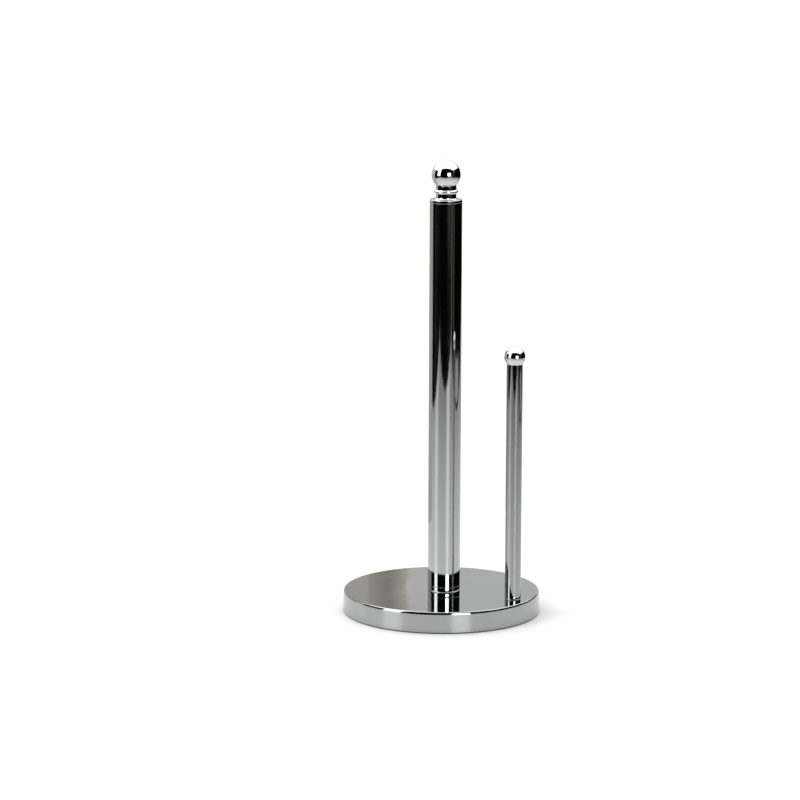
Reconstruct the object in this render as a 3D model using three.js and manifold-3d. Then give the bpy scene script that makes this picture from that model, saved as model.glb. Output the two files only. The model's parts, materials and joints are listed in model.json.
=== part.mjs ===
// Paper towel holder: a weighted round base, a post that the roll drops over, a finial screwed
// on top of the post, and a side rod that keeps the roll from unwinding by itself.
// Millimetres, +Z up. The origin is on the table, under the middle of the base. The side rod stands
// on the +X side, and the post a little off the middle, towards the side rod.
import * as THREE from 'three';
import { mergeVertices } from 'three/addons/utils/BufferGeometryUtils.js';
import Module from 'manifold-3d';

const wasm = await Module();
wasm.setup();

// Driving dimensions.
const GAP = 0.3; // between pieces that touch on the real object
const FIT = 0.3; // on the radius, between a thread or pin and its hole
const SPARE = 1; // depth of a blind hole beyond what screws into it
const OVERRUN = 1; // of a cutting bar past the face that it opens
const BASE = { radius: 76.2, topRadius: 75.9, top: 16.7, edgeOut: 0.9, edgeTall: 2.8, wall: 1.3, lip: 0.8 };
const PAD = { radius: 72, bore: 52, thickness: 2.5 };
const PLATE = { radius: 74.2, thickness: 1 };
const WEIGHT = { radius: 73, roomAtWashers: 1 };
const POST = { offset: 2.2, radius: 12.5, wall: 1.2, top: 322.1 };
const FOOT = { rim: 3.5, edgeOut: 0.6, edgeTall: 1.8, depth: 18 };
const CAP = { rim: 2, edgeRadius: 0.6, depth: 18, holeDepth: 14 };
const NECK = { radius: 7.95, cove: 1.4, beadRadius: 9.25, beadHeight: 2.6, beadMiddle: 5.5 };
const BALL = { radius: 11.2, centre: 340.8 };
const ROD = {
  offset: 62.3, radius: 6.18, ballRadius: 8.1, ballCentre: 205.4, hole: 15, edgeOut: 0.5, edgeTall: 1.4,
};
const PLATE_SCREWS = { count: 3, circle: 40, firstAngle: 60 };

// Fasteners: thread radius, head and washer sizes.
const M6 = { thread: 3, head: 5.75, headHeight: 4, washer: 6, flat: 1.2, spring: 1.4, reach: 25 };
const M5 = {
  thread: 2.5, head: 4.6, headHeight: 4, socket: 2.25, socketDepth: 2, washer: 5, flat: 1, spring: 1.2, reach: 16,
};
const M4 = { thread: 2, head: 4, headHeight: 1.6, socket: 1.2, socketDepth: 0.96, reach: 7 };
const SPRING = { narrower: 0.4, slot: 1 }; // against the flat washer's radius, and its split
const STUD = { thread: 3, inFinial: 9.4, inCap: 13 };
const BALL_STUD = { thread: 2.5, inBall: 8, inRod: 10 };
const FINIAL_WASHER = { radius: 5.6, thickness: 0.7 };

// How finely each kind of round piece is divided.
const BASE_SEGMENTS = 72;
const POST_SEGMENTS = 48;
const SMALL_SEGMENTS = 32;
const HEX_SIDES = 6;

// Heights worked out from the sizes above, from the table up.
const plateBottom = PAD.thickness + GAP;
const plateTop = plateBottom + PLATE.thickness;
const weightBottom = plateTop + GAP;
const weightTop = BASE.top - BASE.wall - GAP;
const onBase = BASE.top + GAP;
const footRimTop = onBase + FOOT.rim;
const capRimBottom = POST.top - CAP.rim;
const tubeBore = POST.radius - POST.wall;
const finialBottom = POST.top + GAP;
const rodTop = ROD.ballCentre - Math.sqrt(ROD.ballRadius ** 2 - ROD.radius ** 2) - GAP;

// Geometry helpers.

/** Turns an outline of [radius, height] points round the Z axis. */
function turned(outline, segments) {
  const points = outline.map(([radius, height]) => new THREE.Vector2(radius, height));
  return new THREE.LatheGeometry(points, segments).rotateX(Math.PI / 2);
}

/** Turns an outline that closes on itself, for a piece with a hole right through it. */
function turnedRing(outline, segments) {
  return turned([...outline, outline[0]], segments);
}

/**
 * Points of an arc in an outline, with angles in degrees from the outward direction. Where it is
 * part of an ellipse, tall is the upright half axis and radius the other.
 */
function arc(centreRadius, centreHeight, radius, startDegrees, endDegrees, steps, tall = radius) {
  return Array.from({ length: steps + 1 }, (_, step) => {
    const degrees = startDegrees + ((endDegrees - startDegrees) * step) / steps;
    const angle = THREE.MathUtils.degToRad(degrees);
    return [centreRadius + radius * Math.cos(angle), centreHeight + tall * Math.sin(angle)];
  });
}

/** A flat ring, or a plain washer. */
function washer(bore, radius, bottom, thickness, segments = SMALL_SEGMENTS) {
  const top = bottom + thickness;
  return turnedRing([[bore, bottom], [radius, bottom], [radius, top], [bore, top]], segments);
}

/** A round bar between two heights. */
function bar(radius, bottom, top, segments = SMALL_SEGMENTS) {
  const cylinder = new THREE.CylinderGeometry(radius, radius, top - bottom, segments);
  return cylinder.rotateX(Math.PI / 2).translate(0, 0, (bottom + top) / 2);
}

/** A hexagonal bar, given half its width across the corners. */
function hexBar(radius, bottom, top) {
  return bar(radius, bottom, top, HEX_SIDES);
}

function toSolid(geometry) {
  const bare = geometry.clone();
  bare.deleteAttribute('normal');
  bare.deleteAttribute('uv');
  const merged = mergeVertices(bare, 1e-4);
  return new wasm.Manifold(new wasm.Mesh({
    numProp: 3,
    vertProperties: new Float32Array(merged.attributes.position.array),
    triVerts: new Uint32Array(merged.index.array),
  }));
}

function toGeometry(solid) {
  const mesh = solid.getMesh();
  const geometry = new THREE.BufferGeometry();
  geometry.setAttribute('position', new THREE.BufferAttribute(mesh.vertProperties, mesh.numProp));
  geometry.setIndex(new THREE.BufferAttribute(mesh.triVerts, 1));
  geometry.computeVertexNormals();
  return geometry;
}

function cut(geometry, ...tools) {
  return toGeometry(tools.reduce((solid, tool) => solid.subtract(toSolid(tool)), toSolid(geometry)));
}

function join(geometry, ...others) {
  return toGeometry(others.reduce((solid, other) => solid.add(toSolid(other)), toSolid(geometry)));
}

/** The same geometry moved onto the post's axis. */
function atPost(geometry) {
  return geometry.translate(POST.offset, 0, 0);
}

/** The same geometry moved onto the side rod's axis. */
function atRod(geometry) {
  return geometry.translate(ROD.offset, 0, 0);
}

/** The same geometry moved onto one of the plate screws' axes. */
function atPlateScrew(geometry, index) {
  const degrees = PLATE_SCREWS.firstAngle + (index * 360) / PLATE_SCREWS.count;
  const angle = THREE.MathUtils.degToRad(degrees);
  return geometry.translate(PLATE_SCREWS.circle * Math.cos(angle), PLATE_SCREWS.circle * Math.sin(angle), 0);
}

function plateScrewHoles(radius, bottom, top) {
  const hole = (_, index) => atPlateScrew(bar(radius, bottom, top), index);
  return Array.from({ length: PLATE_SCREWS.count }, hole);
}

// Each bolt's stack under the base: head, spring washer, flat washer, with a gap after each.
function boltStack(size) {
  const headTop = weightBottom + size.headHeight;
  const springBottom = headTop + GAP;
  const flatBottom = springBottom + size.spring + GAP;
  return { headTop, springBottom, flatBottom, ceiling: flatBottom + size.flat + GAP };
}

// Base.

function baseShell() {
  const underTop = BASE.top - BASE.wall;
  const outline = [
    [0, underTop],
    [BASE.topRadius - BASE.wall, underTop],
    [BASE.radius - BASE.wall, BASE.lip],
    [BASE.radius, BASE.lip],
    ...arc(BASE.topRadius - BASE.edgeOut, BASE.top - BASE.edgeTall, BASE.edgeOut, 0, 90, 5, BASE.edgeTall),
    [0, BASE.top],
  ];
  return cut(
    turned(outline, BASE_SEGMENTS),
    atPost(bar(M6.thread + FIT, underTop - OVERRUN, BASE.top + OVERRUN)),
    atRod(bar(M5.thread + FIT, underTop - OVERRUN, BASE.top + OVERRUN)),
  );
}

function baseWeight() {
  const post = boltStack(M6);
  const rod = boltStack(M5);
  const below = weightBottom - OVERRUN;
  const above = weightTop + OVERRUN;
  return cut(
    bar(WEIGHT.radius, weightBottom, weightTop, BASE_SEGMENTS),
    atPost(bar(M6.thread + FIT, below, above)),
    atPost(bar(M6.washer + WEIGHT.roomAtWashers, below, post.ceiling)),
    atRod(bar(M5.thread + FIT, below, above)),
    atRod(bar(M5.washer + WEIGHT.roomAtWashers, below, rod.ceiling)),
    ...plateScrewHoles(M4.thread + FIT, below, plateTop + M4.reach + SPARE),
  );
}

function basePlate() {
  const disc = bar(PLATE.radius, plateBottom, plateTop, BASE_SEGMENTS);
  return cut(disc, ...plateScrewHoles(M4.thread + FIT, plateBottom - OVERRUN, plateTop + OVERRUN));
}

function basePad() {
  return washer(PAD.bore, PAD.radius, 0, PAD.thickness, BASE_SEGMENTS);
}

function plateScrew(index) {
  const headBottom = PAD.thickness - M4.headHeight;
  const head = bar(M4.head, headBottom, PAD.thickness);
  const shank = bar(M4.thread, PAD.thickness, plateTop + M4.reach);
  const socket = hexBar(M4.socket, headBottom - OVERRUN, headBottom + M4.socketDepth);
  return atPlateScrew(cut(join(head, shank), socket), index);
}

// Bolts and washers that hold the post and the side rod down.

function hexBolt(size) {
  const { headTop } = boltStack(size);
  return join(hexBar(size.head, weightBottom, headTop), bar(size.thread, headTop, headTop + size.reach));
}

function socketBolt(size) {
  const { headTop } = boltStack(size);
  const head = bar(size.head, weightBottom, headTop);
  const shank = bar(size.thread, headTop, headTop + size.reach);
  const socket = hexBar(size.socket, weightBottom - OVERRUN, weightBottom + size.socketDepth);
  return cut(join(head, shank), socket);
}

function springWasher(size) {
  const { springBottom } = boltStack(size);
  const slot = new THREE.BoxGeometry(size.washer, SPRING.slot, size.spring * 2)
    .translate(size.washer, 0, springBottom + size.spring / 2);
  return cut(washer(size.thread + FIT, size.washer - SPRING.narrower, springBottom, size.spring), slot);
}

function flatWasher(size) {
  return washer(size.thread + FIT, size.washer, boltStack(size).flatBottom, size.flat);
}

// Post.

function postFootPlug() {
  return atPost(turnedRing([
    [M6.thread + FIT, onBase],
    ...arc(POST.radius - FOOT.edgeOut, onBase + FOOT.edgeTall, FOOT.edgeOut, -90, 0, 4, FOOT.edgeTall),
    [POST.radius, footRimTop],
    [tubeBore - FIT, footRimTop],
    [tubeBore - FIT, footRimTop + FOOT.depth],
    [M6.thread + FIT, footRimTop + FOOT.depth],
  ], POST_SEGMENTS));
}

function postTube() {
  const bottom = footRimTop + GAP;
  const length = capRimBottom - GAP - bottom;
  return atPost(washer(tubeBore, POST.radius, bottom, length, POST_SEGMENTS));
}

function postTopCap() {
  const edgeCentre = POST.radius - CAP.edgeRadius;
  return atPost(turned([
    [0, capRimBottom - CAP.depth],
    [tubeBore - FIT, capRimBottom - CAP.depth],
    [tubeBore - FIT, capRimBottom],
    [POST.radius, capRimBottom],
    ...arc(edgeCentre, POST.top - CAP.edgeRadius, CAP.edgeRadius, 0, 90, 3),
    [STUD.thread + FIT, POST.top],
    [STUD.thread + FIT, POST.top - CAP.holeDepth],
    [0, POST.top - CAP.holeDepth],
  ], POST_SEGMENTS));
}

// Finial: a cove, a neck with a bead round it, and a ball, turned in one piece.

function finial() {
  const recess = FINIAL_WASHER.radius + FIT;
  const recessTop = finialBottom + FINIAL_WASHER.thickness + GAP;
  const holeTop = POST.top + STUD.inFinial + SPARE;
  const beadMiddle = finialBottom + NECK.beadMiddle;
  const beadBulge = NECK.beadRadius - NECK.radius;
  const neckAngle = -THREE.MathUtils.radToDeg(Math.acos(NECK.radius / BALL.radius));
  return atPost(turned([
    [0, holeTop],
    [STUD.thread + FIT, holeTop],
    [STUD.thread + FIT, recessTop],
    [recess, recessTop],
    [recess, finialBottom],
    ...arc(NECK.radius + NECK.cove, finialBottom + NECK.cove, NECK.cove, 270, 180, 3),
    ...arc(NECK.radius, beadMiddle, beadBulge, -90, 90, 6, NECK.beadHeight / 2),
    ...arc(0, BALL.centre, BALL.radius, neckAngle, 89, 16),
    [0, BALL.centre + BALL.radius],
  ], POST_SEGMENTS));
}

function finialStud() {
  return atPost(bar(STUD.thread, POST.top - STUD.inCap, POST.top + STUD.inFinial));
}

function finialWasher() {
  const { radius, thickness } = FINIAL_WASHER;
  return atPost(washer(STUD.thread + FIT, radius, finialBottom, thickness));
}

// Side rod.

function sideRod() {
  const bottomHole = onBase + ROD.hole;
  const topHole = rodTop - BALL_STUD.inRod - SPARE;
  return atRod(turned([
    [0, bottomHole],
    [M5.thread + FIT, bottomHole],
    [M5.thread + FIT, onBase],
    ...arc(ROD.radius - ROD.edgeOut, onBase + ROD.edgeTall, ROD.edgeOut, -90, 0, 4, ROD.edgeTall),
    [ROD.radius, rodTop],
    [BALL_STUD.thread + FIT, rodTop],
    [BALL_STUD.thread + FIT, topHole],
    [0, topHole],
  ], SMALL_SEGMENTS));
}

function sideRodBall() {
  const seat = rodTop + GAP;
  const seatAngle = -THREE.MathUtils.radToDeg(Math.acos(ROD.radius / ROD.ballRadius));
  const holeTop = seat + BALL_STUD.inBall + SPARE;
  return atRod(turned([
    [0, holeTop],
    [BALL_STUD.thread + FIT, holeTop],
    [BALL_STUD.thread + FIT, seat],
    ...arc(0, ROD.ballCentre, ROD.ballRadius, seatAngle, 89, 14),
    [0, ROD.ballCentre + ROD.ballRadius],
  ], SMALL_SEGMENTS));
}

function sideRodStud() {
  return atRod(bar(BALL_STUD.thread, rodTop - BALL_STUD.inRod, rodTop + BALL_STUD.inBall));
}

// Materials.

function finish(color, roughness, metalness) {
  return () => new THREE.MeshStandardMaterial({ color, roughness, metalness });
}

const chrome = finish(0xd9dbde, 0.05, 1);
const iron = finish(0x4a4948, 0.7, 0.6);
const zincSteel = finish(0xa8a9a6, 0.35, 1);
const platedSteel = finish(0x9a9c9e, 0.3, 1);
const nylon = finish(0xe6e3da, 0.5, 0);
const foam = finish(0x17171a, 0.9, 0);

// Assembly.

const holder = new THREE.Group();

function add(name, geometry, material) {
  const mesh = new THREE.Mesh(geometry, material());
  mesh.name = name;
  holder.add(mesh);
}

add('base_shell', baseShell(), chrome);
add('base_weight', baseWeight(), iron);
add('base_plate', basePlate(), zincSteel);
add('base_pad', basePad(), foam);
for (let index = 0; index < PLATE_SCREWS.count; index += 1) {
  add(`base_plate_screw_${index + 1}`, plateScrew(index), platedSteel);
}

add('post_foot_plug', postFootPlug(), chrome);
add('post_tube', postTube(), chrome);
add('post_top_cap', postTopCap(), chrome);
add('post_bolt', atPost(hexBolt(M6)), platedSteel);
add('post_spring_washer', atPost(springWasher(M6)), platedSteel);
add('post_flat_washer', atPost(flatWasher(M6)), platedSteel);

add('finial', finial(), chrome);
add('finial_stud', finialStud(), platedSteel);
add('finial_washer', finialWasher(), nylon);

add('side_rod', sideRod(), chrome);
add('side_rod_ball', sideRodBall(), chrome);
add('side_rod_stud', sideRodStud(), platedSteel);
add('side_rod_bolt', atRod(socketBolt(M5)), platedSteel);
add('side_rod_spring_washer', atRod(springWasher(M5)), platedSteel);
add('side_rod_flat_washer', atRod(flatWasher(M5)), platedSteel);

export default holder;
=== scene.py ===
"""Paper towel holder in mirror chrome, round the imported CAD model. Metres, in the CAD frame.

The smooth pieces are turned again with many more segments, because a mirror shows every facet.
The studio is set out in the camera's own bearings: +x to its right and +y away from it, with the
holder at the origin. CAMERA_BEARING turns those bearings into the CAD frame.
"""
import json
import math

import bmesh
import bpy
from mathutils import Matrix, Vector


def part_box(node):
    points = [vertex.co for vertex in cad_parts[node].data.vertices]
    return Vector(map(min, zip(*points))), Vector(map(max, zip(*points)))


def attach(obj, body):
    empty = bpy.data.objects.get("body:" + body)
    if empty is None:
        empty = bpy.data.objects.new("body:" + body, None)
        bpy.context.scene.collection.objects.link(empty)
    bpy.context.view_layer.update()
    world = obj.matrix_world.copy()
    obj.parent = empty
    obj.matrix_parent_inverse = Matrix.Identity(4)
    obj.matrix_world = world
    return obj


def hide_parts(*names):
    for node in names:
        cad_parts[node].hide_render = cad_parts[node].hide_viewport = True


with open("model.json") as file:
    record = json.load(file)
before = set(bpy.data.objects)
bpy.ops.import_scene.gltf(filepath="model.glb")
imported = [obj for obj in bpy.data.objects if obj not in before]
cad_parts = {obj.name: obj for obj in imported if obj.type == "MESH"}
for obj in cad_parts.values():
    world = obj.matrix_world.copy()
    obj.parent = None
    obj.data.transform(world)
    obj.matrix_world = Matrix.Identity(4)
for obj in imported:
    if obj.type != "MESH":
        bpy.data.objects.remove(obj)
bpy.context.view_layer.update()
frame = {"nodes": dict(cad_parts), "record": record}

MM = 0.001

# Camera: where it stands from the holder, and how it is aimed.
CAMERA_BEARING = math.radians(29.0)
CAMERA_PLACE = Vector((-0.0326, -2.9065, 0.7216))
CAMERA_TILT = 0.1889
CAMERA_ROLL = 0.0036
CAMERA_LENS = 173.2
SENSOR_WIDTH = 36.0

# Tabletop that the chrome reflects: its edges, as distances from the holder in the camera's
# bearings. Its colour is painted darker away from the holder, out to the distance set below:
# painted shade for light that falls off there. A second one stands to its right.
TABLE_LEFT, TABLE_RIGHT, TABLE_FRONT, TABLE_BACK = 0.85, 0.84, 0.95, 14.0
SIDE_TABLE_NEAR, SIDE_TABLE_FAR, SIDE_TABLE_FRONT, SIDE_TABLE_BACK = 0.88, 1.12, 0.25, 0.30
# How far from the holder the tabletop's painted shade goes on darkening.
TABLE_PAINTED_SHADE_REACH = 0.9
TABLE_DROP = 0.4 * MM
FLOOR_REACH = 18.0

# Grey card that the chrome reflects, behind the holder to its left: its two ends in the camera's
# bearings, and its height.
CARD_NEAR_END, CARD_FAR_END, CARD_HEIGHT = (-0.34, 0.08), (-0.06, 0.42), 0.31

# Sizes inside the pieces, where a node's box doesn't give them.
SHELL_WALL = 1.3 * MM
SHELL_FLARE = 0.3 * MM  # how far the side leans out towards the table
SHELL_HOLE = 6.0 * MM  # under the post's foot
SHELL_EDGE_OUT, SHELL_EDGE_TALL = 0.9 * MM, 2.8 * MM
FOOT_EDGE_OUT, FOOT_EDGE_TALL = 0.6 * MM, 1.8 * MM
ROD_EDGE_OUT, ROD_EDGE_TALL = 0.5 * MM, 1.4 * MM
PAD_BORE = 52 * MM
TUBE_WALL = 1.2 * MM
PLUG_INSET = 1.5 * MM  # from the tube's outside to the plugs in its ends
CAP_HOLE_DEPTH = 14 * MM
FINIAL_HOLE_TOP = 10.1 * MM  # over the finial's bottom
ROD_FOOT_HOLE, ROD_HEAD_HOLE, ROD_BALL_HOLE = 15 * MM, 11 * MM, 9 * MM  # depths

# Thread radii and pitches of the screws, and the holes that clear them.
M6_THREAD, M6_PITCH, M6_HOLE = 3.0 * MM, 1.0 * MM, 3.3 * MM
M5_THREAD, M5_PITCH, M5_HOLE = 2.5 * MM, 0.8 * MM, 2.8 * MM
M4_THREAD, M4_PITCH = 2.0 * MM, 0.7 * MM
M4_HEAD_HEIGHT, M4_SOCKET = 1.6 * MM, 1.25 * MM
M5_SOCKET = 2.25 * MM
M6_HEAD_CORNER = 5.75 * MM
BOLT_HEAD_HEIGHT = 4.0 * MM

BASE_SEGMENTS = 240
POST_SEGMENTS = 128
SMALL_SEGMENTS = 96
THREAD_SEGMENTS = 36
THREAD_ROWS_PER_TURN = 8
BOLT_SEGMENTS = 60
SPRING_SEGMENTS = 90
CORNER_STEPS = 6
EDGE_STEPS = 16
BALL_STEPS = 40

record = frame["record"]
BODY_OF = {node: body for body, nodes in record["behaviour"]["bodies"].items() for node in nodes}


# ---------------------------------------------------------------- outlines

def arc(centre, radius, start, end, steps, tall=None):
    """Points of an arc in an outline. Angles are in degrees from the outward direction.

    Where it is part of an ellipse, tall is the upright half axis and radius the other.
    """
    tall = tall or radius
    angles = [math.radians(start + (end - start) * step / steps) for step in range(steps + 1)]
    return [(centre[0] + radius * math.cos(a), centre[1] + tall * math.sin(a)) for a in angles]


def soften(corners, closed=True, steps=CORNER_STEPS):
    """Rounds each corner (radius, height, fillet) of an outline. A fillet of 0 stays sharp."""
    points = []
    count = len(corners)
    for index, (radius, height, fillet) in enumerate(corners):
        at_end = not closed and index in (0, count - 1)
        if fillet == 0 or at_end:
            points.append((radius, height))
            continue
        here = Vector((radius, height))
        before = (Vector(corners[index - 1][:2]) - here).normalized()
        after = (Vector(corners[(index + 1) % count][:2]) - here).normalized()
        half = before.angle(after) / 2
        centre = here + (before + after).normalized() * fillet / math.sin(half)
        start = here + before * fillet / math.tan(half) - centre
        sweep = (math.pi - 2 * half) * math.copysign(1, before.cross(after))
        for step in range(steps + 1):
            turn = Matrix.Rotation(-sweep * step / steps, 2)
            points.append(tuple(centre + turn @ start))
    return points


# ---------------------------------------------------------------- meshes

def make_object(name, mesh_data):
    mesh = bpy.data.meshes.new(name)
    mesh_data.to_mesh(mesh)
    mesh_data.free()
    mesh.shade_smooth()
    made = bpy.data.objects.new(name, mesh)
    bpy.context.scene.collection.objects.link(made)
    weighted = made.modifiers.new("even_normals", "WEIGHTED_NORMAL")
    weighted.weight = 50
    weighted.keep_sharp = True
    return made


def turned(name, outline, segments, at=(0.0, 0.0), form=None, closed=False):
    """Turns an outline of (radius, height) points round a vertical axis at a place.

    An outline starts and ends on the axis, or is closed. form(angle, radius, height) gives the
    radius at an angle where the piece isn't round.
    """
    solid = bmesh.new()
    rings = []
    for radius, height in outline:
        if radius < 1e-7:
            rings.append([solid.verts.new((at[0], at[1], height))])
            continue
        ring = []
        for step in range(segments):
            angle = 2 * math.pi * step / segments
            reach = form(angle, radius, height) if form else radius
            place = (at[0] + reach * math.cos(angle), at[1] + reach * math.sin(angle), height)
            ring.append(solid.verts.new(place))
        rings.append(ring)
    pairs = list(zip(rings, rings[1:]))
    if closed:
        pairs.append((rings[-1], rings[0]))
    for lower, upper in pairs:
        for step in range(segments):
            after = (step + 1) % segments
            corners = [lower[step % len(lower)], lower[after % len(lower)],
                       upper[after % len(upper)], upper[step % len(upper)]]
            solid.faces.new(list(dict.fromkeys(corners)))
    bmesh.ops.recalc_face_normals(solid, faces=solid.faces)
    return make_object(name, solid)


def fit_to_node(made, node, material):
    """The piece stands for a CAD node, rides on its body and takes its slot and a material."""
    made.data.materials.append(material)
    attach(made, BODY_OF[node])
    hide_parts(node)
    return made


def carry_over(node, material):
    """A CAD node whose shape is right keeps its mesh and gets a better material."""
    kept = frame["nodes"][node]
    kept.data.materials.clear()
    kept.data.materials.append(material)


def reach_of(node):
    """(centre x, centre y, outer radius, bottom, top) of a round CAD node."""
    low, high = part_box(node)
    return (low.x + high.x) / 2, (low.y + high.y) / 2, (high.y - low.y) / 2, low.z, high.z


# ---------------------------------------------------------------- materials

class Surface:
    """A material's node tree, with short names for the nodes that the surfaces here use."""

    def __init__(self, name):
        self.material = bpy.data.materials.new(name)
        self.material.use_nodes = True
        self.nodes = self.material.node_tree.nodes
        self.links = self.material.node_tree.links
        self.shader = self.nodes["Principled BSDF"]
        self.coordinates = self.nodes.new("ShaderNodeTexCoord").outputs["Object"]

    def set(self, **values):
        for name, value in values.items():
            self.shader.inputs[name.replace("_", " ")].default_value = value

    def plug(self, output, name):
        self.links.new(output, self.shader.inputs[name])

    def stretched(self, scale):
        mapping = self.nodes.new("ShaderNodeMapping")
        mapping.inputs["Scale"].default_value = scale
        self.links.new(self.coordinates, mapping.inputs["Vector"])
        return mapping.outputs["Vector"]

    def noise(self, scale, detail=3.0, stretch=None, roughness=0.5):
        texture = self.nodes.new("ShaderNodeTexNoise")
        texture.inputs["Scale"].default_value = scale
        texture.inputs["Detail"].default_value = detail
        texture.inputs["Roughness"].default_value = roughness
        place = self.stretched(stretch) if stretch else self.coordinates
        self.links.new(place, texture.inputs["Vector"])
        return texture.outputs["Fac"]

    def cells(self, scale, feature="F1"):
        texture = self.nodes.new("ShaderNodeTexVoronoi")
        texture.feature = feature
        texture.inputs["Scale"].default_value = scale
        self.links.new(self.coordinates, texture.inputs["Vector"])
        return texture

    def spread(self, value, low, high, to_low, to_high):
        spread = self.nodes.new("ShaderNodeMapRange")
        spread.inputs["From Min"].default_value = low
        spread.inputs["From Max"].default_value = high
        spread.inputs["To Min"].default_value = to_low
        spread.inputs["To Max"].default_value = to_high
        self.links.new(value, spread.inputs["Value"])
        return spread.outputs["Result"]

    def add(self, first, second):
        total = self.nodes.new("ShaderNodeMath")
        total.operation = "ADD"
        self.links.new(first, total.inputs[0])
        self.links.new(second, total.inputs[1])
        return total.outputs["Value"]

    def tint(self, value, dark, light):
        ramp = self.nodes.new("ShaderNodeValToRGB")
        ramp.color_ramp.elements[0].color = (*dark, 1)
        ramp.color_ramp.elements[1].color = (*light, 1)
        self.links.new(value, ramp.inputs["Fac"])
        return ramp.outputs["Color"]

    def bump(self, height, depth, under=None):
        """Relief of a depth in metres, on top of another relief if there is one."""
        relief = self.nodes.new("ShaderNodeBump")
        relief.inputs["Distance"].default_value = depth
        self.links.new(height, relief.inputs["Height"])
        if under:
            self.links.new(under, relief.inputs["Normal"])
        return relief.outputs["Normal"]


def chrome(name, grain, shade, ripple_depth):
    """Mirror chrome plate of a grey shade, with a faint ripple of a depth in metres. The shade is
    the plate's own grey, with painted light in it where a piece gets a darker or lighter copy.

    grain is how close together the fine polishing lines are along X, Y and Z.
    """
    surface = Surface(name)
    surface.set(Metallic=1.0)
    hazy = surface.noise(16, detail=5)
    fine_lines = surface.noise(1.0, detail=2, stretch=grain)
    dark = (0.97 * shade, 0.98 * shade, 0.99 * shade)
    light = (1.03 * shade, 1.04 * shade, 1.05 * shade)
    surface.plug(surface.tint(hazy, dark, light), "Base Color")
    smudge = surface.spread(hazy, 0.35, 0.75, 0.02, 0.06)
    lines = surface.spread(fine_lines, 0.3, 0.8, 0.0, 0.03)
    surface.plug(surface.add(smudge, lines), "Roughness")
    ripple = surface.bump(surface.noise(120, detail=1), ripple_depth)
    surface.plug(surface.bump(fine_lines, 4e-7, ripple), "Normal")
    return surface.material


def plated_steel():
    surface = Surface("bright_zinc_plated_steel")
    surface.set(Metallic=1.0)
    patches = surface.noise(700, detail=4)
    surface.plug(surface.tint(patches, (0.52, 0.53, 0.55), (0.66, 0.67, 0.68)), "Base Color")
    surface.plug(surface.spread(patches, 0.3, 0.7, 0.22, 0.38), "Roughness")
    turning = surface.noise(1.0, detail=2, stretch=(300, 300, 9000))
    surface.plug(surface.bump(turning, 6e-6), "Normal")
    return surface.material


def zinc_sheet():
    """Zinc-plated sheet: soft crystal patches, rolling lines along X and a fine tooth."""
    surface = Surface("zinc_plated_sheet")
    surface.set(Metallic=1.0)
    crystals = surface.cells(160).outputs["Color"]
    gray = surface.nodes.new("ShaderNodeRGBToBW")
    surface.links.new(crystals, gray.inputs["Color"])
    patch = gray.outputs["Val"]
    surface.plug(surface.tint(patch, (0.46, 0.465, 0.47), (0.60, 0.605, 0.61)), "Base Color")
    rolled = surface.noise(1.0, detail=3, stretch=(30, 1500, 30))
    patch_haze = surface.spread(patch, 0, 1, 0.26, 0.4)
    line_haze = surface.spread(rolled, 0.3, 0.7, 0, 0.08)
    surface.plug(surface.add(patch_haze, line_haze), "Roughness")
    surface.plug(surface.bump(rolled, 5e-6, surface.bump(surface.noise(900), 8e-6)), "Normal")
    return surface.material


def cast_iron():
    surface = Surface("cast_iron_painted")
    surface.set(Metallic=0.35)
    grains = surface.noise(600, detail=6, roughness=0.65)
    blotches = surface.noise(45, detail=4)
    surface.plug(surface.tint(blotches, (0.045, 0.044, 0.043), (0.10, 0.098, 0.095)), "Base Color")
    surface.plug(surface.spread(grains, 0.3, 0.7, 0.55, 0.85), "Roughness")
    surface.plug(surface.bump(grains, 2.5e-4, surface.bump(blotches, 4e-4)), "Normal")
    return surface.material


def foam_rubber():
    """Closed-cell foam: small open pores where the sheet was split, and a dusty bloom."""
    surface = Surface("foam_rubber")
    pores = surface.cells(1500).outputs["Distance"]
    bloom = surface.noise(60, detail=5)
    surface.plug(surface.tint(bloom, (0.012, 0.012, 0.013), (0.032, 0.032, 0.034)), "Base Color")
    surface.plug(surface.spread(bloom, 0.3, 0.7, 0.78, 0.95), "Roughness")
    surface.plug(surface.bump(pores, 1.5e-4, surface.bump(bloom, 2e-4)), "Normal")
    return surface.material


def nylon():
    surface = Surface("natural_nylon")
    surface.set(Subsurface_Weight=0.15, Subsurface_Scale=0.002)
    cloudy = surface.noise(400, detail=3)
    surface.plug(surface.tint(cloudy, (0.74, 0.72, 0.65), (0.83, 0.81, 0.75)), "Base Color")
    surface.plug(surface.spread(cloudy, 0.3, 0.7, 0.38, 0.52), "Roughness")
    surface.plug(surface.bump(cloudy, 1.5e-5), "Normal")
    return surface.material


DRAWN = (420, 420, 3)  # lines along the length of a tube or bar
SPUN = (60, 60, 1800)  # lines round a turned piece
BUFFED = (260, 12, 60)  # lines across a buffed sheet

# Painted light: one plating throughout, but the shell and the side rod get darker greys and the two
# balls a lighter grey than the tube and turned pieces, for the light each reflects.
shell_chrome_painted_darker = chrome("chrome_buffed_sheet_painted_darker", BUFFED, 0.44, 3e-6)
tube_chrome = chrome("chrome_drawn_tube", DRAWN, 0.52, 1.0e-5)
rod_chrome_painted_darker = chrome("chrome_drawn_rod_painted_darker", DRAWN, 0.41, 1.2e-5)
turned_chrome = chrome("chrome_turned", SPUN, 0.52, 1.0e-5)
ball_chrome_painted_brighter = chrome("chrome_ball_painted_brighter", SPUN, 0.68, 1.0e-5)
bolt_steel = plated_steel()
plate_zinc = zinc_sheet()
weight_iron = cast_iron()
pad_foam = foam_rubber()
washer_nylon = nylon()


# ---------------------------------------------------------------- base

BASE_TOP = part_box("base_shell")[1].z


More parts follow.
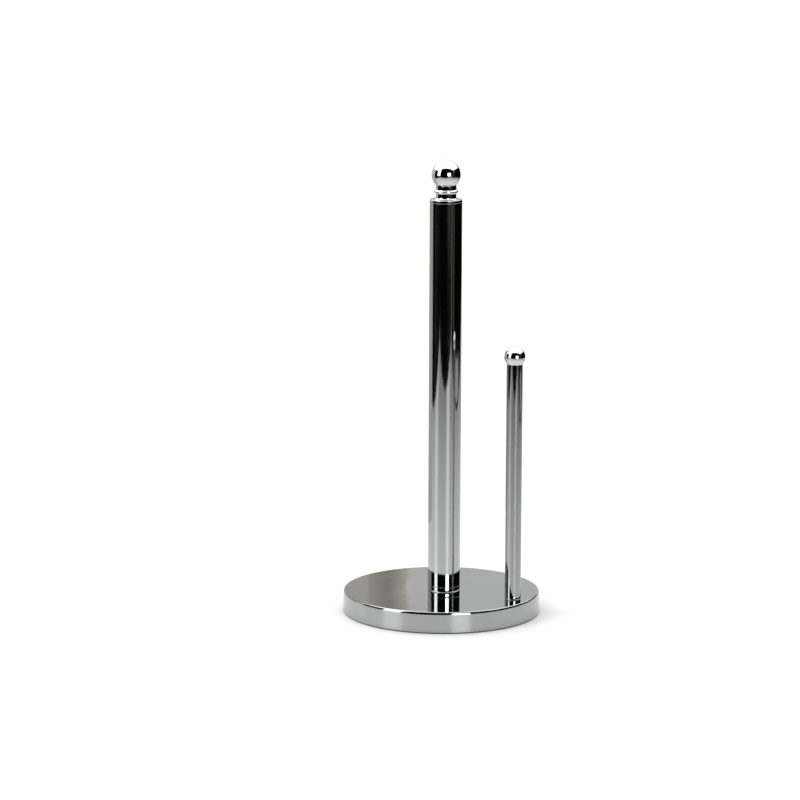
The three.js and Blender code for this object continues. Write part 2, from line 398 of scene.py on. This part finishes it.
def make_base_shell():
    """The steel cup, turned over: its side leans out a little and its top edge is rolled."""
    _, _, outside, lip, top = reach_of("base_shell")
    inside = outside - SHELL_WALL
    under_top = top - SHELL_WALL
    lip_edge = 0.2 * MM
    edge_centre = (outside - SHELL_FLARE - SHELL_EDGE_OUT, top - SHELL_EDGE_TALL)
    outline = [
        (SHELL_HOLE, under_top),
        (inside - SHELL_FLARE - SHELL_WALL, under_top),
        (inside - SHELL_FLARE, under_top - SHELL_WALL),
        (inside, lip + lip_edge),
        (inside + lip_edge, lip),
        (outside - lip_edge, lip),
        (outside, lip + lip_edge),
    ]
    outline += arc(edge_centre, SHELL_EDGE_OUT, 0, 90, 24, SHELL_EDGE_TALL)
    outline.append((SHELL_HOLE, top))
    shell = turned("base_shell_polished", outline, BASE_SEGMENTS, closed=True)
    fit_to_node(shell, "base_shell", shell_chrome_painted_darker)


def make_base_pad():
    _, _, radius, bottom, top = reach_of("base_pad")
    worn, crisp = 0.5 * MM, 0.2 * MM
    outline = soften([
        (PAD_BORE, bottom, worn),
        (radius, bottom, worn),
        (radius, top, crisp),
        (PAD_BORE, top, crisp),
    ])
    pad = turned("base_pad_foam", outline, BASE_SEGMENTS, closed=True)
    fit_to_node(pad, "base_pad", pad_foam)


def make_base_plate():
    """The closing sheet, with a pressed ring that stiffens it."""
    _, _, radius, bottom, top = reach_of("base_plate")
    rib_out, rib_in, rib_depth = 26 * MM, 20 * MM, 0.8 * MM
    edge = 0.2 * MM
    outline = soften([
        (0, bottom, 0),
        (rib_in - rib_depth, bottom, rib_depth),
        (rib_in, bottom - rib_depth, rib_depth / 2),
        (rib_out, bottom - rib_depth, rib_depth / 2),
        (rib_out + rib_depth, bottom, rib_depth),
        (radius, bottom, edge),
        (radius, top, edge),
        (0, top, 0),
    ], closed=False)
    plate = turned("base_plate_pressed", outline, BASE_SEGMENTS)
    fit_to_node(plate, "base_plate", plate_zinc)


# ---------------------------------------------------------------- fasteners

END_CHAMFER = 0.6  # of a thread's end, in pitches


def hexagon(corner_radius):
    """A form that keeps a turned piece inside a hexagon with corners on the Y axis."""
    flat = corner_radius * math.cos(math.pi / 6)

    def radius_at(angle, radius, _height):
        from_flat = (angle + math.pi / 6) % (math.pi / 3) - math.pi / 6
        return min(radius, flat / math.cos(from_flat))

    return radius_at


def thread_form(crest, pitch):
    """A right-hand thread of a pitch, cut into anything that reaches the crest."""
    depth = 0.55 * pitch
    root = crest - depth
    steepness = 1.6  # leaves a flat crest

    def radius_at(angle, radius, height):
        phase = (height / pitch - angle / (2 * math.pi)) % 1.0
        flank = min(1.0, steepness * abs(2 * phase - 1.0))
        return min(radius, root + depth * flank)

    return radius_at


def threaded_outline(crest, pitch, bottom, top):
    """Rows up a threaded shank to its chamfered end, close enough together to carry the thread."""
    chamfer = END_CHAMFER * pitch
    rows = max(2, round((top - bottom) / pitch * THREAD_ROWS_PER_TURN))
    outline = []
    for row in range(rows + 1):
        height = bottom + (top - bottom) * row / rows
        from_end = top - height
        outline.append((crest - max(0.0, chamfer - from_end), height))
    return outline


def make_stud(name, node, pitch):
    x, y, radius, bottom, top = reach_of(node)
    foot = [(0, bottom), (radius - END_CHAMFER * pitch, bottom)]
    rows = threaded_outline(radius, pitch, bottom, top)
    outline = foot + rows[1:] + [(0, top)]
    stud = turned(name, outline, THREAD_SEGMENTS, (x, y), thread_form(radius, pitch))
    fit_to_node(stud, node, bolt_steel)


def head_outline(radius, bottom, height, socket):
    """The underside and side of a bolt's head, from its middle: with a socket, or a shallow dish."""
    chamfer = 0.12 * radius
    top_chamfer = 0.3 * chamfer
    top = bottom + height
    if socket:
        socket_top = bottom + 0.55 * height
        middle = [(0, socket_top), (socket, socket_top), (socket, bottom)]
    else:
        dish_top = bottom + 0.1 * height
        middle = [(0, dish_top), (0.6 * radius, dish_top), (0.66 * radius, bottom)]
    return middle + [
        (radius - chamfer, bottom),
        (radius, bottom + chamfer),
        (radius, top - top_chamfer),
        (radius - top_chamfer, top),
    ]


def make_bolt(name, node, thread, pitch, head_height, socket=0.0, head_form=None):
    """A bolt, head down, with or without a hexagon socket."""
    x, y, head, bottom, top = reach_of(node)
    head_top = bottom + head_height
    outline = head_outline(head, bottom, head_height, socket)
    outline += threaded_outline(thread, pitch, head_top, top) + [(0, top)]
    inner_hexagon = hexagon(socket) if socket else None
    thread_radius = thread_form(thread, pitch)

    def form(angle, radius, height):
        if height > head_top:
            return thread_radius(angle, radius, height)
        if inner_hexagon and radius <= socket:
            return inner_hexagon(angle, radius, height)
        return head_form(angle, radius, height) if head_form else radius

    bolt = turned(name, outline, BOLT_SEGMENTS, (x, y), form)
    fit_to_node(bolt, node, bolt_steel)


def make_washer(name, node, bore, material):
    x, y, radius, bottom, top = reach_of(node)
    edge = 0.12 * MM
    corners = [(bore, bottom, edge), (radius, bottom, edge), (radius, top, edge), (bore, top, edge)]
    outline = soften(corners, steps=3)
    made = turned(name, outline, SMALL_SEGMENTS, (x, y), closed=True)
    fit_to_node(made, node, material)


def make_spring_washer(name, node, bore):
    """A split ring whose two ends stand a little apart, as a helical spring washer's do."""
    x, y, radius, bottom, top = reach_of(node)
    gap = math.radians(14)
    edge = 0.12 * MM
    rise = 0.25 * MM
    thickness = top - bottom - rise
    corners = [(bore, 0, edge), (radius, 0, edge), (radius, thickness, edge), (bore, thickness, edge)]
    section = soften(corners, steps=2)
    solid = bmesh.new()
    rings = []
    for step in range(SPRING_SEGMENTS + 1):
        share = step / SPRING_SEGMENTS
        angle = gap / 2 + (2 * math.pi - gap) * share
        lift = bottom + rise * share
        ring = []
        for reach, height in section:
            place = (x + reach * math.cos(angle), y + reach * math.sin(angle), lift + height)
            ring.append(solid.verts.new(place))
        rings.append(ring)
    for near, far in zip(rings, rings[1:]):
        for index in range(len(section)):
            after = (index + 1) % len(section)
            solid.faces.new((near[index], near[after], far[after], far[index]))
    solid.faces.new(rings[0])
    solid.faces.new(rings[-1])
    bmesh.ops.recalc_face_normals(solid, faces=solid.faces)
    fit_to_node(make_object(name, solid), node, bolt_steel)


# ---------------------------------------------------------------- post

def make_post_tube():
    x, y, radius, bottom, top = reach_of("post_tube")
    bore = radius - TUBE_WALL
    edge = 0.15 * MM
    corners = [(bore, bottom, edge), (radius, bottom, edge), (radius, top, edge), (bore, top, edge)]
    outline = soften(corners)
    tube = turned("post_tube_polished", outline, POST_SEGMENTS, (x, y), closed=True)
    fit_to_node(tube, "post_tube", tube_chrome)


def make_post_foot():
    """The foot plug: its rim turns in towards the base, with a hairline seam under the tube."""
    x, y, radius, _, top = reach_of("post_foot_plug")
    seam, rim_edge = 0.18 * MM, 0.1 * MM
    rim_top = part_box("post_tube")[0].z - seam
    plug = radius - PLUG_INSET
    edge_centre = (radius - FOOT_EDGE_OUT, BASE_TOP + FOOT_EDGE_TALL)
    outline = [(M6_HOLE, BASE_TOP)]
    outline += arc(edge_centre, FOOT_EDGE_OUT, -90, 0, EDGE_STEPS, FOOT_EDGE_TALL)
    outline += [
        (radius, rim_top - rim_edge),
        (radius - rim_edge, rim_top),
        (plug, rim_top),
        (plug, top),
        (M6_HOLE, top),
    ]
    foot = turned("post_foot_plug_polished", outline, POST_SEGMENTS, (x, y), closed=True)
    fit_to_node(foot, "post_foot_plug", turned_chrome)


def make_post_cap():
    """The cap: its rim stands on the tube over a hairline seam, round the hole for the stud."""
    x, y, radius, bottom, top = reach_of("post_top_cap")
    seam = 0.12 * MM
    rim_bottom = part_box("post_tube")[1].z + seam
    plug = radius - PLUG_INSET
    hole_bottom = top - CAP_HOLE_DEPTH
    outline = soften([
        (0, bottom, 0),
        (plug, bottom, 0.5 * MM),
        (plug, rim_bottom, 0.1 * MM),
        (radius, rim_bottom, 0.15 * MM),
        (radius, top, 0.6 * MM),
        (M6_HOLE, top, 0.3 * MM),
        (M6_HOLE, hole_bottom, 0.3 * MM),
        (0, hole_bottom, 0),
    ], closed=False)
    cap = turned("post_top_cap_polished", outline, POST_SEGMENTS, (x, y))
    fit_to_node(cap, "post_top_cap", turned_chrome)


# ---------------------------------------------------------------- finial

def make_finial():
    """A cove on the cap, a neck with a rounded bead round it, and a ball."""
    x, y, ball, bottom, top = reach_of("finial")
    seam = 0.03 * MM
    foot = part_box("post_top_cap")[1].z + seam
    neck, cove = 7.95 * MM, 1.4 * MM
    bead_bulge, bead_high, bead_middle = 1.3 * MM, 2.6 * MM, bottom + 5.5 * MM
    recess, recess_top = 5.9 * MM, bottom + 1.0 * MM
    hole_top = bottom + FINIAL_HOLE_TOP
    ball_centre = top - ball
    inside = soften([
        (0, hole_top, 0),
        (M6_HOLE, hole_top, 0.3 * MM),
        (M6_HOLE, recess_top, 0.2 * MM),
        (recess, recess_top, 0.2 * MM),
        (recess, foot, 0.1 * MM),
        (neck + cove, foot, 0),
    ], closed=False)[:-1]
    bead = arc((neck, bead_middle), bead_bulge, -90, 90, 18, bead_high / 2)
    bead_crease = bead_high / 2 + 0.2 * MM
    seat_angle = -math.degrees(math.acos(neck / ball))
    outline = inside
    outline += arc((neck + cove, foot + cove), cove, 270, 180, 10)
    outline += [(neck, bead_middle - bead_crease)] + bead + [(neck, bead_middle + bead_crease)]
    outline += arc((0, ball_centre), ball, seat_angle, 88, BALL_STEPS) + [(0, top)]
    made = turned("finial_polished", outline, POST_SEGMENTS, (x, y))
    fit_to_node(made, "finial", ball_chrome_painted_brighter)


# ---------------------------------------------------------------- side rod

def make_side_rod():
    x, y, radius, _, top = reach_of("side_rod")
    foot_hole_top = BASE_TOP + ROD_FOOT_HOLE
    head_hole_bottom = top - ROD_HEAD_HOLE
    edge_centre = (radius - ROD_EDGE_OUT, BASE_TOP + ROD_EDGE_TALL)
    top_edge = 0.1 * MM
    outline = [(0, foot_hole_top), (M5_HOLE, foot_hole_top), (M5_HOLE, BASE_TOP)]
    outline += arc(edge_centre, ROD_EDGE_OUT, -90, 0, EDGE_STEPS, ROD_EDGE_TALL)
    outline += [
        (radius, top - top_edge),
        (radius - top_edge, top),
        (M5_HOLE, top),
        (M5_HOLE, head_hole_bottom),
        (0, head_hole_bottom),
    ]
    rod = turned("side_rod_polished", outline, SMALL_SEGMENTS, (x, y))
    fit_to_node(rod, "side_rod", rod_chrome_painted_darker)


def make_side_ball():
    x, y, ball, bottom, top = reach_of("side_rod_ball")
    rod = reach_of("side_rod")[2]
    overlap = 0.28 * MM  # reaches down over the gap above the rod
    seat = bottom - overlap
    hole_top = seat + ROD_BALL_HOLE
    seat_angle = -math.degrees(math.acos(rod / ball))
    outline = [(0, hole_top), (M5_HOLE, hole_top), (M5_HOLE, seat), (rod, seat)]
    outline += arc((0, top - ball), ball, seat_angle, 88, BALL_STEPS) + [(0, top)]
    made = turned("side_rod_ball_polished", outline, SMALL_SEGMENTS, (x, y))
    fit_to_node(made, "side_rod_ball", ball_chrome_painted_brighter)


# ---------------------------------------------------------------- studio

def to_cad(place):
    """A place in the camera's bearings, in the CAD frame."""
    return Matrix.Rotation(CAMERA_BEARING, 3, "Z") @ Vector(place)


def make_camera():
    lens = bpy.data.cameras.new("camera")
    lens.lens = CAMERA_LENS
    lens.sensor_width = SENSOR_WIDTH
    lens.clip_end = 40
    camera = bpy.data.objects.new("camera", lens)
    bpy.context.scene.collection.objects.link(camera)
    place = Matrix.Translation(to_cad(CAMERA_PLACE))
    turn = Matrix.Rotation(CAMERA_BEARING, 4, "Z")
    tilt = Matrix.Rotation(math.pi / 2 - CAMERA_TILT, 4, "X")
    roll = Matrix.Rotation(CAMERA_ROLL, 4, "Z")
    camera.matrix_world = place @ turn @ tilt @ roll
    bpy.context.scene.camera = camera


def pale_floor():
    surface = Surface("pale_floor")
    mottle = surface.noise(4, detail=3)
    surface.plug(surface.tint(mottle, (0.65, 0.65, 0.65), (0.67, 0.67, 0.67)), "Base Color")
    surface.set(Roughness=0.9, Specular_IOR_Level=0.0)
    return surface.material


def tabletop_with_painted_shade():
    surface = Surface("tabletop_with_painted_shade")
    # Painted shade: the colour darkens with distance from the holder, for light that falls off away
    # from it.
    away = surface.nodes.new("ShaderNodeVectorMath")
    away.operation = "LENGTH"
    surface.links.new(surface.coordinates, away.inputs[0])
    painted_falloff_shade = surface.spread(away.outputs["Value"], 0, TABLE_PAINTED_SHADE_REACH, 0, 1)
    surface.plug(surface.tint(painted_falloff_shade, (0.63, 0.63, 0.625), (0.24, 0.24, 0.235)), "Base Color")
    surface.set(Roughness=0.42, Specular_IOR_Level=0.35)
    return surface.material


def grey_card():
    surface = Surface("grey_card")
    fibres = surface.noise(200, detail=4)
    surface.plug(surface.tint(fibres, (0.61, 0.60, 0.56), (0.64, 0.63, 0.59)), "Base Color")
    surface.set(Roughness=1.0, Specular_IOR_Level=0.0)
    return surface.material


def make_panel(name, corners, material):
    """A flat stage panel, given its four corners in the camera's bearings."""
    mesh = bpy.data.meshes.new(name)
    mesh.from_pydata([to_cad(corner) for corner in corners], [], [(0, 1, 2, 3)])
    mesh.materials.append(material)
    made = bpy.data.objects.new(name, mesh)
    bpy.context.scene.collection.objects.link(made)
    return made


def make_sheet(name, left, right, front, back, height, material):
    """A level stage panel, given how far it reaches from the holder on each side."""
    corners = [(-left, -front), (right, -front), (right, back), (-left, back)]
    return make_panel(name, [(*corner, height) for corner in corners], material)


def make_floor():
    """A wide floor that only the camera sees, over the tables that the chrome reflects."""
    pale = tabletop_with_painted_shade()
    table = make_sheet("tabletop", TABLE_LEFT, TABLE_RIGHT, TABLE_FRONT, TABLE_BACK, -TABLE_DROP, pale)
    side_table = make_sheet("side_table", -SIDE_TABLE_NEAR, SIDE_TABLE_FAR, SIDE_TABLE_FRONT,
                            SIDE_TABLE_BACK, -TABLE_DROP, pale)
    table.visible_camera = False
    side_table.visible_camera = False
    floor = make_sheet("floor", FLOOR_REACH, FLOOR_REACH, FLOOR_REACH, FLOOR_REACH, 0, pale_floor())
    floor.visible_glossy = False
    floor.visible_diffuse = False
    floor.visible_transmission = False
    floor.visible_shadow = False


def make_card():
    """A grey card standing behind the holder to its left, seen only in the chrome."""
    foot = [(*CARD_NEAR_END, 0), (*CARD_FAR_END, 0)]
    head = [(*CARD_FAR_END, CARD_HEIGHT), (*CARD_NEAR_END, CARD_HEIGHT)]
    card = make_panel("grey_card", foot + head, grey_card())
    card.visible_camera = False
    card.visible_diffuse = False
    card.visible_transmission = False
    card.visible_shadow = False


# The studio's light. A panel runs between two bearings and between two elevations, in degrees,
# and its edges fade over its softness. Bearing 0 is straight behind the holder, positive to the
# camera's right, and 180 is towards the camera.
WHITE = (1.0, 1.0, 1.0)
WARM = (1.0, 0.94, 0.82)
PANELS = [
    # name, bearings, elevations, softness, brightness, tint
    ("front_window", (147, 168), (-6, 17), 1.5, 6.0, WHITE),
    ("left_softbox", (-131.5, -108.5), (-6, 60), 1.5, 2.8, WHITE),
    ("near_light_stand", (134, 140), (-16, 12), 1.5, 0.15, WARM),
    ("far_light_stand", (119, 123), (-16, 12), 1.5, 0.14, WARM),
    ("light_stand_top", (108, 114), (12, 25), 1.5, 0.30, WARM),
    ("left_stand", (-105, -101), (-16, 12), 1.5, 0.06, WARM),
    ("left_back_wall", (-76, -3), (-30, 30), 1.5, 0.72, WHITE),
    ("back_card", (-3, 0.14), (-30, 20), 0.05, 0.31, WARM),
    ("back_card_left_glow", (-3, -0.42), (0, 20), 0.7, 0.24, WARM),
    ("back_card_edge_glow", (0.0, 0.14), (0, 20), 0.3, 0.26, WARM),
    ("right_back_wall", (0.14, 28), (-30, 20), 0.05, 0.68, WHITE),
]
# The ceiling panel, level, wider towards the back: how far its edges are from over the holder,
# in the camera's bearings and as shares of its height. Its back edge fades out slowly.
CEILING_FRONT, CEILING_LEFT, CEILING_RIGHT, CEILING_BACK = 0.70, 2.25, 1.75, 2.1
CEILING_FLARE = 0.22
CEILING_SOFTNESS, CEILING_BACK_SOFTNESS = 0.04, 1.8
CEILING_BRIGHTNESS = 2.2
ROOM_DARK = (0.002, 0.002, 0.002)
BACKGROUND = 1.0


class Sky:
    """The world's node tree, with short names for the nodes that the studio uses."""

    def __init__(self):
        world = bpy.data.worlds.new("studio")
        world.use_nodes = True
        bpy.context.scene.world = world
        self.nodes = world.node_tree.nodes
        self.links = world.node_tree.links

    def put(self, value, socket):
        if isinstance(value, (int, float)):
            socket.default_value = value
        else:
            self.links.new(value, socket)

    def math(self, operation, *values):
        node = self.nodes.new("ShaderNodeMath")
        node.operation = operation
        for value, socket in zip(values, node.inputs):
            self.put(value, socket)
        return node.outputs["Value"]

    def step(self, value, edge, softness):
        """0 to 1 as value rises past an edge, or as it falls past it if softness is negative."""
        from_edge = self.math("DIVIDE", self.math("SUBTRACT", value, edge), softness)
        ramp = self.nodes.new("ShaderNodeMapRange")
        ramp.interpolation_type = "SMOOTHSTEP"
        ramp.inputs["From Min"].default_value = -0.5
        ramp.inputs["From Max"].default_value = 0.5
        self.links.new(from_edge, ramp.inputs["Value"])
        return ramp.outputs["Result"]

    def scaled(self, colour, factor):
        node = self.nodes.new("ShaderNodeVectorMath")
        node.operation = "SCALE"
        node.inputs[0].default_value = colour
        self.put(factor, node.inputs["Scale"])
        return node.outputs["Vector"]

    def between(self, value, low, high, softness):
        return self.math("MULTIPLY", self.step(value, low, softness), self.step(value, high, -softness))

    def plus(self, first, second):
        node = self.nodes.new("ShaderNodeVectorMath")
        node.operation = "ADD"
        self.links.new(first, node.inputs[0])
        self.links.new(second, node.inputs[1])
        return node.outputs["Vector"]


def make_studio():
    """White panels in a dark room, for light and reflections. The camera itself sees plain white."""
    sky = Sky()
    direction = sky.nodes.new("ShaderNodeTexCoord").outputs["Generated"]
    turn = sky.nodes.new("ShaderNodeVectorRotate")
    turn.rotation_type = "Z_AXIS"
    turn.inputs["Angle"].default_value = -CAMERA_BEARING
    sky.links.new(direction, turn.inputs["Vector"])
    split = sky.nodes.new("ShaderNodeSeparateXYZ")
    sky.links.new(turn.outputs["Vector"], split.inputs["Vector"])
    right, away, up = (split.outputs[axis] for axis in "XYZ")
    bearing = sky.math("DEGREES", sky.math("ARCTAN2", right, away))
    elevation = sky.math("DEGREES", sky.math("ARCSINE", up))
    light = sky.scaled(ROOM_DARK, 1.0)
    for _name, (left_edge, right_edge), (low, high), softness, brightness, tint in PANELS:
        across = sky.between(bearing, left_edge, right_edge, softness)
        share = sky.math("MULTIPLY", across, sky.between(elevation, low, high, softness))
        light = sky.plus(light, sky.scaled(tint, sky.math("MULTIPLY", share, brightness)))
    overhead = sky.math("MAXIMUM", up, 0.001)
    along = sky.math("DIVIDE", away, overhead)
    across = sky.math("DIVIDE", right, overhead)
    flare = sky.math("MULTIPLY", along, CEILING_FLARE)
    right_share = sky.step(sky.math("SUBTRACT", across, flare), CEILING_RIGHT, -CEILING_SOFTNESS)
    left_share = sky.step(sky.math("ADD", across, flare), -CEILING_LEFT, CEILING_SOFTNESS)
    front_share = sky.step(along, -CEILING_FRONT, CEILING_SOFTNESS)
    back_share = sky.step(along, CEILING_BACK, -CEILING_BACK_SOFTNESS)
    share = sky.math("MULTIPLY", sky.math("MULTIPLY", left_share, right_share),
                     sky.math("MULTIPLY", front_share, back_share))
    light = sky.plus(light, sky.scaled(WHITE, sky.math("MULTIPLY", share, CEILING_BRIGHTNESS)))
    seen = sky.nodes["Background"]
    sky.links.new(light, seen.inputs["Color"])
    plain = sky.nodes.new("ShaderNodeBackground")
    plain.inputs["Color"].default_value = (BACKGROUND, BACKGROUND, BACKGROUND, 1)
    choose = sky.nodes.new("ShaderNodeMixShader")
    sky.links.new(sky.nodes.new("ShaderNodeLightPath").outputs["Is Camera Ray"], choose.inputs["Fac"])
    sky.links.new(seen.outputs["Background"], choose.inputs[1])
    sky.links.new(plain.outputs["Background"], choose.inputs[2])
    sky.links.new(choose.outputs["Shader"], sky.nodes["World Output"].inputs["Surface"])
    bpy.context.scene.view_settings.view_transform = "Standard"


# ---------------------------------------------------------------- everything

make_camera()
make_floor()
make_card()
make_studio()

make_base_shell()
make_base_plate()
make_base_pad()
carry_over("base_weight", weight_iron)
for number in (1, 2, 3):
    make_bolt(f"base_plate_screw_{number}_threaded", f"base_plate_screw_{number}",
              M4_THREAD, M4_PITCH, M4_HEAD_HEIGHT, M4_SOCKET)

make_post_foot()
make_post_tube()
make_post_cap()
make_bolt("post_bolt_threaded", "post_bolt", M6_THREAD, M6_PITCH, BOLT_HEAD_HEIGHT,
          head_form=hexagon(M6_HEAD_CORNER))
make_spring_washer("post_spring_washer_split", "post_spring_washer", M6_HOLE)
make_washer("post_flat_washer_pressed", "post_flat_washer", M6_HOLE, bolt_steel)

make_finial()
make_stud("finial_stud_threaded", "finial_stud", M6_PITCH)
make_washer("finial_washer_moulded", "finial_washer", M6_HOLE, washer_nylon)

make_side_rod()
make_side_ball()
make_stud("side_rod_stud_threaded", "side_rod_stud", M5_PITCH)
make_bolt("side_rod_bolt_threaded", "side_rod_bolt", M5_THREAD, M5_PITCH, BOLT_HEAD_HEIGHT, M5_SOCKET)
make_spring_washer("side_rod_spring_washer_split", "side_rod_spring_washer", M5_HOLE)
make_washer("side_rod_flat_washer_pressed", "side_rod_flat_washer", M5_HOLE, bolt_steel)
